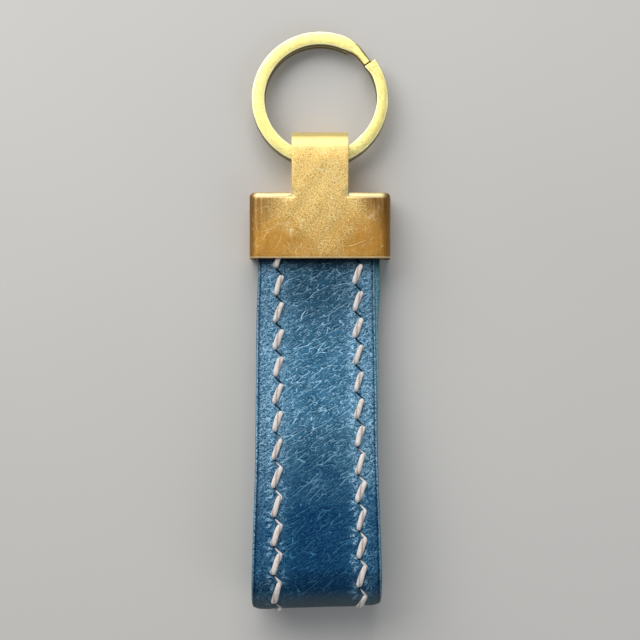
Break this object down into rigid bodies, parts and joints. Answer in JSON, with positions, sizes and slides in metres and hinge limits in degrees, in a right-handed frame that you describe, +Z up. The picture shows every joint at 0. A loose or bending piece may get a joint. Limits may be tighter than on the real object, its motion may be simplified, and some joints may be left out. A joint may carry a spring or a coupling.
{
  "type": "keychain",
  "caption": "Leather loop key fob: a stitched two-layer strap folded into a loop, clamped in a folded brass end clip whose neck carries a flat-wire split ring.",
  "frame": {"origin": "centre of the footprint, on the surface the fob lies on", "axes": "+X across the strap, +Y from the leather loop towards the split ring, +Z up out of the surface"},
  "size_m": [0.0286, 0.1173, 0.0132],
  "materials": {
    "ring_brass": "bright, lightly worn",
    "clip_brass": "brushed, scratched and worn",
    "outer_leather": "waxed, pull-up",
    "lining_leather": "matt, cut edge",
    "thread": "waxed twisted linen"
  },
  "bodies": {
    "clip": {"clip_body": "clip_brass", "left_post": "clip_brass", "right_post": "clip_brass", "left_screw": "clip_brass", "right_screw": "clip_brass", "outer_front_end": "outer_leather", "outer_back_end": "outer_leather", "lining_front_end": "lining_leather", "lining_back_end": "lining_leather"},
    "ring": {"split_ring": "ring_brass"},
    "strap": {"outer_loop": "outer_leather", "lining_loop": "lining_leather", "left_thread": "thread", "right_thread": "thread"}
  },
  "joints": [
    {"name": "ring_swing", "type": "hinge", "parent": "clip", "child": "ring", "pos_m": [0, 0.03276, 0.0037], "axis": [1, 0, 0], "range_deg": [-134, 144]},
    {"name": "strap_flex", "type": "hinge", "parent": "clip", "child": "strap", "pos_m": [0, 0.00884, 0.0037], "axis": [1, 0, 0], "range_deg": [-30, 30], "stiffness_Nm_per_rad": 0.05}
  ]
}
